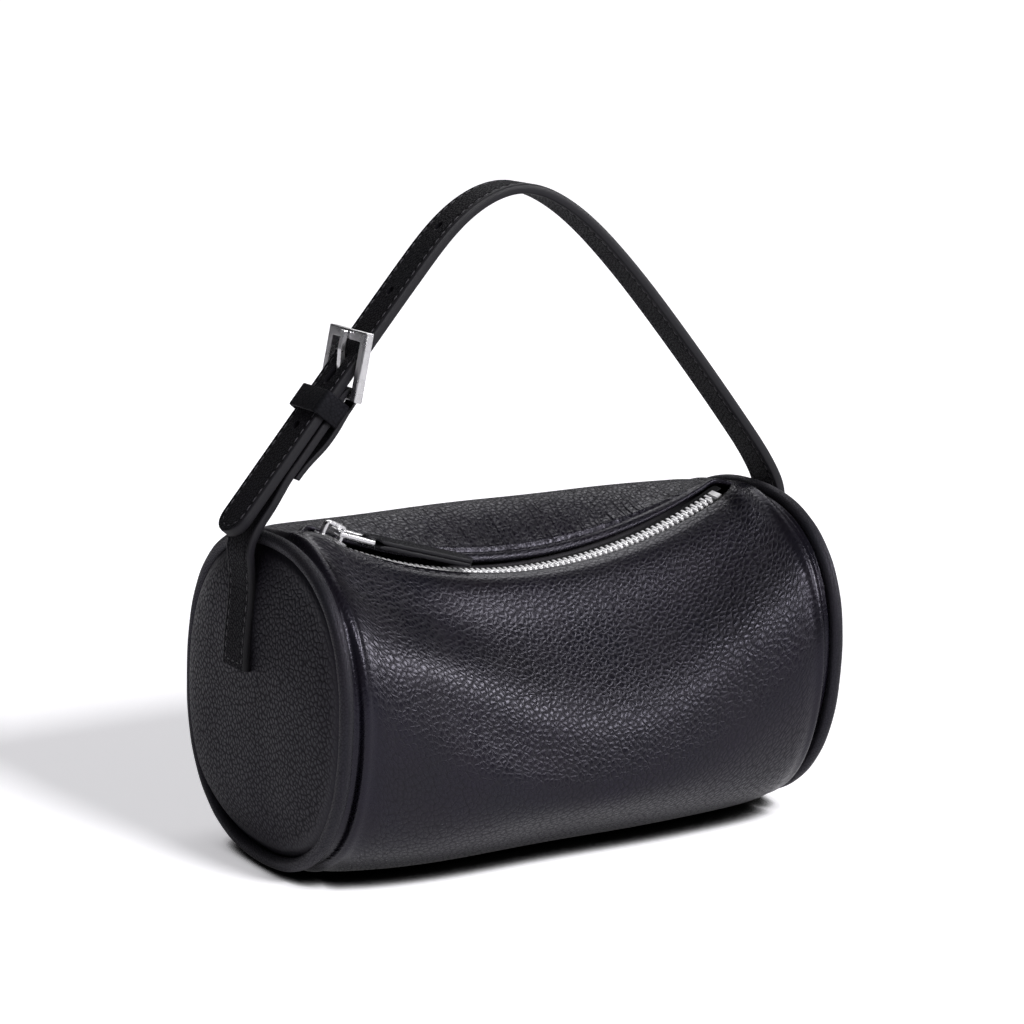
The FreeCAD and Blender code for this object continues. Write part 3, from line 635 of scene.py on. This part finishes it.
# Handle straps, all in one upright plane
handle = {"y": 6.0, "halfWidth": 8.75, "longHalf": 1.85, "points": 520, "tailAngle": math.radians(50.0),
          "tailStart": (-54.1, 189.5), "tailLength": 89.5, "stitchInset": 2.3, "stitch": 2.6, "gap": 1.0,
          "holes": [44.2, -13.8, -42.8], "holeRadius": 1.7, "slot": (15.2, 24.7), "longOff": 2.15,
          "shortOff": 1.8, "tipLength": 7.6, "tipPower": 2.4, "thread": 0.3, "sunk": 0.16, "pitch": 1.5,
          "stitchTip": 8.0, "stitchRound": 5.7, "cut": 5.0}
tailDir = np.array([-math.cos(handle["tailAngle"]), -math.sin(handle["tailAngle"])])
tailOut = np.array([tailDir[1], -tailDir[0]])


def onTail(along, out):
    return np.array(handle["tailStart"]) + tailDir * along + tailOut * out


def inPlane(p, q, a):
    return np.stack([p, handle["y"] + a, q], -1)


sewnRight = [(panelSwell(handle["y"], z) + handle["longOff"], z) for z in (55.0, 67.0, 80.0)]
bendRight = [(107.2, 95.0), (113.4, 104.5), (116.2, 113.0), (112.4, 124.0)]
arch = [(101.1, 140.4), (68.8, 181.2), (41.4, 212.2), (23.9, 227.2), (3.0, 235.2), (-16.0, 229.2),
        (-37.1, 209.4)]
tail = [tuple(onTail(s, 0.0)) for s in (0.0, 15.0, 30.0, 45.0, 60.0, 75.0, handle["tailLength"])]
longLine = smoothLine(sewnRight + bendRight + arch + tail, handle["points"])
longRun = lengths(longLine)
tip = longRun[-1] - longRun
narrowed = np.clip(1 - tip / handle["tipLength"], 0, 1) ** handle["tipPower"]
rounded = handle["halfWidth"] * np.sqrt(np.clip(1 - narrowed, 0.012, 1))
longStrap = strip("longStrap", longLine, inPlane, rounded, handle["longHalf"], [strapLeather, edgePaint],
                  dips=(handle["stitchInset"],))


# a place on the long strap: s from the tail's start, towards the tip; a across; h out
def onLong(s, a, h):
    at = longRun[-1] - handle["tailLength"] + s
    p, ahead = pointAlong(longLine, longRun, at)
    if at + lookAhead >= longRun[-1]:
        ahead = tailDir
    p = p + np.array([ahead[1], -ahead[0]]) * h
    return np.array([p[0], handle["y"] + a, p[1]])


turns = np.radians(np.arange(0, 360, 18))
for first, last in [(s, s) for s in handle["holes"]] + [handle["slot"]]:
    rim = [(last if math.cos(t) > 0 else first, t) for t in turns]
    rim = [(s + handle["holeRadius"] * math.cos(t), handle["holeRadius"] * math.sin(t)) for s, t in rim]
    cutOut(longStrap, rim, lambda c: onLong(c[0], c[1], -handle["cut"]),
           lambda c: onLong(c[0], c[1], handle["cut"]))
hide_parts("long_strap_face", "long_strap_backing", "long_strap_bend", "long_strap_sewn_end")
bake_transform(longStrap)

# two rows of stitches on each face, meeting round the tip
lengthBack = longRun[-1] - handle["tailLength"]
inset = handle["halfWidth"] - handle["stitchInset"]
lastStitch = handle["tailLength"] - handle["stitchTip"]
straight = np.arange(-lengthBack + 2.5, lastStitch - 0.5, handle["pitch"])
bend = np.radians(np.arange(-90, 91, 10))
edgePath = [(s, -inset) for s in straight]
edgePath += [(lastStitch + handle["stitchRound"] * math.cos(t), inset * math.sin(t)) for t in bend]
edgePath += [(s, inset) for s in straight[::-1]]
for name, level in (("longStitchFace", 1), ("longStitchBack", -1)):
    depth = level * (handle["longHalf"] - handle["sunk"])
    path = np.array([onLong(s, a, depth) for s, a in edgePath])
    above = np.array([onLong(s, a, 2 * depth) for s, a in edgePath])
    normal = unit(above - path)
    row = stitches(name, path, normal, handle["stitch"], handle["gap"], handle["thread"])
    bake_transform(row)

# Short strap: up from the left end, round the heel bar and back under itself
heel = {"along": 25.7, "out": -5.3, "loop": 2.4, "mainOut": -3.85, "returnOut": -8.25, "sewnOut": -6.5,
        "returnEnd": 60.4, "points": 360, "loopHalf": 0.55, "mainMore": 0.9, "returnMore": 0.4,
        "thinFade": (3.5, 13.0), "notch": [(19.7, 2.2), (19.7, -2.2), (30.2, -2.2), (30.2, 2.2)],
        "notchLow": -12.0, "notchHigh": 2.0, "sewnStitch": (2.5, 36.0), "sewnEdge": 2.3,
        "returnFrom": 14.0, "returnEdge": 2.2}
sewnLeft = [(-panelSwell(handle["y"], z) - handle["shortOff"], z) for z in (73.0, 84.0, 96.0)]
bendLeft = [(-105.9, 110.5), (-106.2, 113.5), (-104.2, 120.8), (-97.9, 129.5)]
rising = [tuple(onTail(s, heel["mainOut"])) for s in (62.0, 55.0, 47.0, 39.0)]
rising += [tuple(onTail(32.0, heel["mainOut"] + 0.35))]
looped = [tuple(onTail(heel["along"] - heel["loop"] * math.sin(t), heel["out"] + heel["loop"] * math.cos(t)))
          for t in np.radians([0, 45, 90, 135, 180])]
falling = [(31.0, -7.95), (37.0, heel["returnOut"]), (46.0, heel["returnOut"] + 0.1),
           (54.0, heel["sewnOut"] - 0.4), (heel["returnEnd"], heel["sewnOut"])]
falling = [tuple(onTail(s, o)) for s, o in falling]
shortLine = smoothLine(sewnLeft + bendLeft + rising + looped + falling, heel["points"])
shortRun = lengths(shortLine)
toHeel = np.hypot(*(shortLine - onTail(heel["along"], heel["out"])).T)
loopAt = shortRun[np.argmin(toHeel)]
thin = ease(np.abs(shortRun - loopAt), *heel["thinFade"])
after = ease(shortRun - loopAt, 0.0, 2.0)
thickness = heel["loopHalf"] + thin * heel["mainMore"] * (1 - after) + thin * after * heel["returnMore"]
shortStrap = strip("shortStrap", shortLine, inPlane, handle["halfWidth"] - 0.02, thickness,
                   [strapLeather, edgePaint], flip=-1.0, dips=(handle["stitchInset"],))
cutOut(shortStrap, heel["notch"],  # room for the prong
       lambda c: np.insert(onTail(c[0], heel["notchLow"]), 1, handle["y"] + c[1]),
       lambda c: np.insert(onTail(c[0], heel["notchHigh"]), 1, handle["y"] + c[1]))
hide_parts("short_strap", "short_strap_bend", "short_strap_sewn_end")
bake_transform(shortStrap)


# outer face of the short strap: s from its sewn end
def onShort(s, a, h):
    p, ahead = pointAlong(shortLine, shortRun, s)
    p = p + np.array([-ahead[1], ahead[0]]) * (h + np.interp(s, shortRun, thickness))
    return np.array([p[0], handle["y"] + a, p[1]])


sewnRun = np.arange(*heel["sewnStitch"], handle["pitch"])
acrossRun = np.linspace(-inset, inset, 10)
boxPath = [(s, -inset) for s in sewnRun[::-1]] + [(heel["sewnEdge"], a) for a in acrossRun]
boxPath += [(s, inset) for s in sewnRun]
returnLast = shortRun[-1] - heel["returnEdge"]
returnRun = np.arange(loopAt + heel["returnFrom"], returnLast, handle["pitch"])
returnPath = [(s, -inset) for s in returnRun] + [(returnLast, a) for a in acrossRun]
returnPath += [(s, inset) for s in returnRun[::-1]]
for name, course in (("shortStitchSewn", boxPath), ("shortStitchReturn", returnPath)):
    path = np.array([onShort(s, a, -0.14) for s, a in course])
    above = np.array([onShort(s, a, 1.0) for s, a in course])
    normal = unit(above - path)
    row = stitches(name, path, normal, handle["stitch"], handle["gap"], handle["thread"])
    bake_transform(row)
print("straps made")


# a box with round corners, as points at every few degrees of each corner
def roundedBox(halfWide, halfHigh, corner, degrees):
    points = []
    for cx, cy, start in ((1, 1, 0), (-1, 1, 90), (-1, -1, 180), (1, -1, 270)):
        for t in np.radians(np.arange(start, start + 91, degrees)):
            points.append((cx * (halfWide - corner) + corner * math.cos(t),
                           cy * (halfHigh - corner) + corner * math.sin(t)))
    return np.array(points)


# Keeper: a band of strap leather round both straps
keeper = {"along": 29.4, "length": 9.1, "wall": 1.3, "halfWidth": 9.25, "top": 3.05, "low": -5.65,
          "corner": 1.4, "edge": 0.4, "points": 120, "grain": 0.5}
half = (keeper["top"] - keeper["low"]) / 2 + keeper["wall"] / 2
middle = (keeper["top"] + keeper["low"]) / 2
loop = roundedBox(keeper["halfWidth"] + keeper["wall"] / 2, half, keeper["corner"], 15)
loop = spaced(np.concatenate([loop, loop[:1]]), keeper["points"] + 1)[:-1]
ahead = unit(np.roll(loop, -1, 0) - np.roll(loop, 1, 0))
out = np.stack([ahead[:, 1], -ahead[:, 0]], 1)
halfL = keeper["length"] / 2
profile = roundedBox(halfL, keeper["wall"] / 2, keeper["edge"], 30)
band = np.zeros((len(loop), len(profile), 3))
for i, (a, o) in enumerate(loop):
    for j, (l, t) in enumerate(profile):
        p = onTail(keeper["along"] + halfL + l, middle + o + out[i, 1] * t)
        band[i, j] = (p[0], handle["y"] + a + out[i, 0] * t, p[1])
band = np.concatenate([band, band[:1]])
loopRun = lengths(np.concatenate([loop, loop[:1]]))
profileRun = lengths(profile)
uv = np.stack(np.meshgrid(loopRun, profileRun, indexing="ij"), -1)
keeperSkin = meshObject("keeperBand", band, gridFaces(*band.shape[:2], ring=True), uv, [strapLeather])
pointValue(keeperSkin, "grain", np.full(band.shape[:2], keeper["grain"]))
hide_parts("strap_keeper")
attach(keeperSkin, "keeper")


# Zip: u along it from the lowest point, v to the rear, n up from the tape
def onZipLine(u, v, n):
    tilt, radius = zipRun["tilt"], zipRun["radius"]
    y = zipRun["y"] + v * np.cos(tilt) - n * np.sin(tilt)
    reach = radius - v * np.sin(tilt) - n * np.cos(tilt)
    z = zipRun["low"] + radius - reach * np.cos(u / radius)
    return np.stack([reach * np.sin(u / radius), y, z], -1)


tapes = {"inner": 2.2, "front": 7.4, "rear": 6.5, "half": 0.3, "points": 260}
arcHalf = zipRun["radius"] * math.asin(zipRun["reach"] / zipRun["radius"])
for side, name in ((-1, "front"), (1, "rear")):
    u = np.linspace(-arcHalf, arcHalf, tapes["points"])
    middle = (tapes["inner"] + tapes[name]) / 2
    tape = strip(name + "Tape", np.stack([u, 0 * u], 1), lambda p, q, a: onZipLine(p, side * middle + a, q),
                 (tapes[name] - tapes["inner"]) / 2, tapes["half"], [tapeCloth, tapeCloth], flip=-1.0)
    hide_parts(name + "_zip_tape")
    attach(tape, "bag")

# front topstitch along the zip
topline = {"from": -78.0, "to": 80.0, "inset": 3.4, "stitch": 3.0, "gap": 1.2, "radius": 0.28,
           "tries": 200, "every": 6, "points": 300}
places = np.linspace(topline["from"], topline["to"], topline["tries"])
onStation = [np.argmin(np.abs(stations - x)) for x in places]
atStitch = [np.argmin(np.abs(run[i] - topline["inset"])) for i in onStation]
lipLine = smoothLine(sheet[onStation, atStitch][::topline["every"]], topline["points"])
lipUp = smoothLine(-gridNormals(sheet)[onStation, atStitch][::topline["every"]], topline["points"])
topstitch = stitches("zipTopstitch", lipLine, lipUp, topline["stitch"], topline["gap"], topline["radius"])
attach(topstitch, "bag")

# Pull tab: a strip folded round the link and laid along the zip
tab = {"pinU": 1.7, "pinN": 5.55, "linkFar": 14.4, "length": 41.5, "halfWidth": 4.5, "neck": 2.0,
       "rise": math.radians(6.3), "lift": 0.05, "points": 260, "rounding": 2.0, "thin": 0.35, "thicker": 0.42}
restU = zipRun["radius"] * math.asin(zipRun["start"] / zipRun["radius"])


def onPuller(p, q, a):
    rise, tilt, radius = tab["rise"], zipRun["tilt"], zipRun["radius"]
    du, dn = p - tab["pinU"], q + tab["lift"] * np.maximum(p - tab["linkFar"], 0)
    u = tab["pinU"] + du * np.cos(rise) - dn * np.sin(rise)
    n = tab["pinN"] + du * np.sin(rise) + dn * np.cos(rise)
    y = zipRun["y"] + a * np.cos(tilt) - n * np.sin(tilt)
    up = a * np.sin(tilt) + n * np.cos(tilt) - radius
    turn = restU / radius
    x = u * np.cos(turn) - up * np.sin(turn)
    z = u * np.sin(turn) + up * np.cos(turn)
    return np.stack([x, y, z + zipRun["low"] + radius], -1)


far, end = tab["linkFar"], tab["linkFar"] + tab["length"]
fold = [(end, -0.82), (end - 10, -0.82), (far + 12, -0.82), (far + 6, -0.85), (far + 2.6, -1.25)]
fold += [(far - 1.55 * math.cos(t), -1.55 * math.sin(t)) for t in np.radians([75, 40, 0, -40, -75])]
fold += [(x, -n) for x, n in fold[4::-1]]
tabLine = smoothLine(fold, tab["points"])
reach = tabLine[:, 0] - far
width = tab["neck"] + (tab["halfWidth"] - tab["neck"]) * ease(reach, 1.7, 3.4)
cornered = np.clip((reach - tab["length"] + tab["rounding"]) / tab["rounding"], 0, 1)
width = width - tab["rounding"] * cornered ** 2
thick = tab["thin"] + tab["thicker"] * ease(reach, 2.0, 6.0)
pullTab = strip("pullTab", tabLine, onPuller, width, thick, [strapLeather, edgePaint])
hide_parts("pull_tab")
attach(pullTab, "tab")
print("zip and pull made")

# Lining: hidden by the closed zip, so plain
inner = {"depth": 5.0, "spread": 2.4, "end": 94.4, "stations": 60, "around": 120,
         "discOff": 0.9, "discInset": 6.0, "rings": 20, "spokes": 90}
pocket = {"half": 48.0, "low": 30.0, "high": 82.0, "off": 1.2, "behind": 20.0, "stations": 30, "around": 160}
places = np.linspace(-inner["end"], inner["end"], inner["stations"])
liner = crossRows(places, inner["around"], inner["depth"], inner["spread"])
linerRun = np.stack([lengths(s) for s in liner[..., 1:]])
liningSkin = meshObject("liningSkin", liner, gridFaces(*liner.shape[:2]),
                        np.stack([liner[..., 0], linerRun], -1), [liningCloth])
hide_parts("lining_wrap")
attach(liningSkin, "bag")
for side, name in ((-1, "left"), (1, "right")):
    scale = np.linspace(0.01, 1.0, inner["rings"])[:, None]
    y, z = ringPoints(scale, inner["spokes"], inner["discInset"])
    disc = np.stack([side * (inner["end"] + inner["discOff"]) + 0 * y, y, z], -1)
    faces = gridFaces(inner["rings"], inner["spokes"], ring=True, flip=side > 0)
    faces.append(list(range(inner["spokes"]))[::-side])
    cover = meshObject(name + "LiningSkin", disc, faces, np.stack([y, z], -1), [liningCloth])
    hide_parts(name + "_end_lining")
    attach(cover, "bag")
places = np.linspace(-pocket["half"], pocket["half"], pocket["stations"])
deep = crossRows(places, pocket["around"], inner["depth"] + pocket["off"], inner["spread"])
y, z = deep[pocket["stations"] // 2, :, 1:].T
patch = deep[:, (y > pocket["behind"]) & (pocket["low"] <= z) & (z <= pocket["high"])]
pocketSkin = meshObject("pocketSkin", patch, gridFaces(*patch.shape[:2]), patch[..., [0, 2]], [liningCloth])
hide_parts("slip_pocket")
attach(pocketSkin, "bag")

# Metal and board keep their CAD shape, with the sharp edges broken
hardware = {
    "buckle_frame": (buckleMetal, 0.35), "buckle_prong": (buckleMetal, 0.35),
    "zip_slider": (buckleMetal, 0.3), "pull_link": (buckleMetal, 0.3),
    "front_zip_teeth": (toothMetal, 0.16), "rear_zip_teeth": (toothMetal, 0.16),
    "zip_top_stops": (toothMetal, 0.2), "zip_bottom_stop": (toothMetal, 0.2),
    "base_board": (fibreBoard, 0.3),
}
broken = {"weld": 0.01, "steps": 2, "sharper": 32}
for name, (material, size) in hardware.items():
    cad[name].data.materials.clear()
    cad[name].data.materials.append(material)
    weld = cad[name].modifiers.new("weld", "WELD")
    weld.merge_threshold = broken["weld"] * mm
    soft = cad[name].modifiers.new("soft edges", "BEVEL")
    soft.width = size * mm
    soft.segments = broken["steps"]
    soft.limit_method = "ANGLE"
    soft.angle_limit = math.radians(broken["sharper"])
print("hardware dressed")

# Floor: pale paper that glows a little, less in reflections, and not where the bag shuts light out; there its
# colour is darkened too, a painted contact shadow
studio = {"floor": "#f1f0f3", "fibre": "#eeedf0", "grain": 30.0, "rough": 0.9, "specular": 0.1,
          "glow": 0.5, "glowColour": "#fbfafd", "mirror": 0.27, "contact": 0.009, "dark": 0.35, "clear": 0.85,
          "room": 0.05, "roomColour": "#f3f2f7"}
bpy.ops.mesh.primitive_plane_add(size=40)
floor = bpy.context.object
floor.name = "floor"
paper, tree, shader = newMaterial("paper sweep")
place = add(tree, "TexCoord").outputs["Object"]
fibres = noise(tree, place, studio["grain"], flat=False)["Fac"]
tint = between(tree, fibres, studio["fibre"], studio["floor"])
ray = add(tree, "LightPath").outputs
# painted contact shadow: ambient occlusion close to the bag darkens the floor's colour and its glow
shut = add(tree, "AmbientOcclusion", {"samples": 12}, {"Distance": studio["contact"]})
paintedContactShadow = add(tree, "MapRange", {"interpolation_type": "SMOOTHSTEP"},
             {"Value": shut.outputs["AO"], "From Min": studio["dark"], "From Max": studio["clear"]})
contact = paintedContactShadow.outputs[0]
darkened = add(tree, "Mix", {"data_type": "RGBA", "blend_type": "MULTIPLY"}, {0: 1.0, 6: tint, 7: contact})
mirrored = calc(tree, "MAXIMUM", ray["Is Glossy Ray"], ray["Is Transmission Ray"])
mirrored = calc(tree, "MULTIPLY", mirrored, studio["mirror"])
level = calc(tree, "MULTIPLY_ADD", ray["Is Camera Ray"], contact, mirrored)
feed(tree, shader, {"Base Color": darkened.outputs[2], "Roughness": studio["rough"],
                    "Specular IOR Level": studio["specular"],
                    "Emission Color": hexLinear(studio["glowColour"]),
                    "Emission Strength": calc(tree, "MULTIPLY", level, studio["glow"])})
floor.data.materials.append(paper)


# from the bag towards a lamp or the camera; azimuth 0 is straight in front
def towards(azimuth, elevation):
    a, e = math.radians(azimuth), math.radians(elevation)
    return Vector((math.sin(a) * math.cos(e), -math.cos(a) * math.cos(e), math.sin(e)))


# puts light or camera data in the scene, looking back along its direction
def aimed(name, data, direction, place=(0.0, 0.0, 0.0)):
    obj = bpy.data.objects.new(name, data)
    obj.location = place
    obj.rotation_mode = "QUATERNION"
    obj.rotation_quaternion = (-direction).to_track_quat("-Z", "Y")
    bpy.context.scene.collection.objects.link(obj)
    return obj


# the key is far off, so its light falls evenly and its shadow keeps one direction
keyLook = {"azimuth": 12, "elevation": 29, "angle": 11, "energy": 4.2}
key = bpy.data.lights.new("key", "SUN")
key.energy = keyLook["energy"]
key.angle = math.radians(keyLook["angle"])
keyLamp = aimed("key", key, towards(keyLook["azimuth"], keyLook["elevation"]))
keyLamp.visible_glossy = False  # the shine comes from the broad lamps

# broad lamps: where they stand, size and distance in metres; a shine lamp shows only in gloss
lamps = {
    "fill": {"at": (-80, 35), "distance": 1.8, "size": (1.2, 1.2),
             "energy": 1.0, "colour": "#f4f3ff", "shine": False},
    "front": {"at": (48, 27), "distance": 1.5, "size": (1.7, 0.25),
              "energy": 23.0, "colour": "#ffffff", "shine": True},
    "brow": {"at": (-10, 43), "distance": 1.5, "size": (0.55, 0.25),
             "energy": 10.0, "colour": "#ffffff", "shine": True},
    "top": {"at": (150, 62), "distance": 1.8, "size": (1.1, 1.1),
            "energy": 6.5, "colour": "#ffffff", "shine": False},
    "rim": {"at": (150, 36), "distance": 1.6, "size": (1.2, 0.5),
            "energy": 4.5, "colour": "#ffffff", "shine": True},
}
lampTarget = Vector((0, 0, 0.1))
for name, look in lamps.items():
    light = bpy.data.lights.new(name, "AREA")
    light.shape = "RECTANGLE"
    light.size, light.size_y = look["size"]
    light.energy = look["energy"]
    light.color = hexLinear(look["colour"])[:3]
    away = towards(*look["at"])
    lamp = aimed(name, light, away, lampTarget + away * look["distance"])
    lamp.visible_diffuse = not look["shine"]

world = bpy.data.worlds.new("studio")
bpy.context.scene.world = world
world.use_nodes = True
room = world.node_tree.nodes["Background"]
room.inputs["Color"].default_value = hexLinear(studio["roomColour"])
room.inputs["Strength"].default_value = studio["room"]

# Camera at the photo's angle
view = {"lens": 112.5, "sensor": 36.0, "azimuth": -30.2, "elevation": 11.4, "distance": 1.157,
        "target": (-0.0006, 0.0, 0.1183)}
lens = bpy.data.cameras.new("camera")
lens.lens = view["lens"]
lens.sensor_width = view["sensor"]
away = towards(view["azimuth"], view["elevation"])
bpy.context.scene.camera = aimed("camera", lens, away, Vector(view["target"]) + away * view["distance"])
bpy.context.scene.view_settings.view_transform = "Standard"
print("stage set")
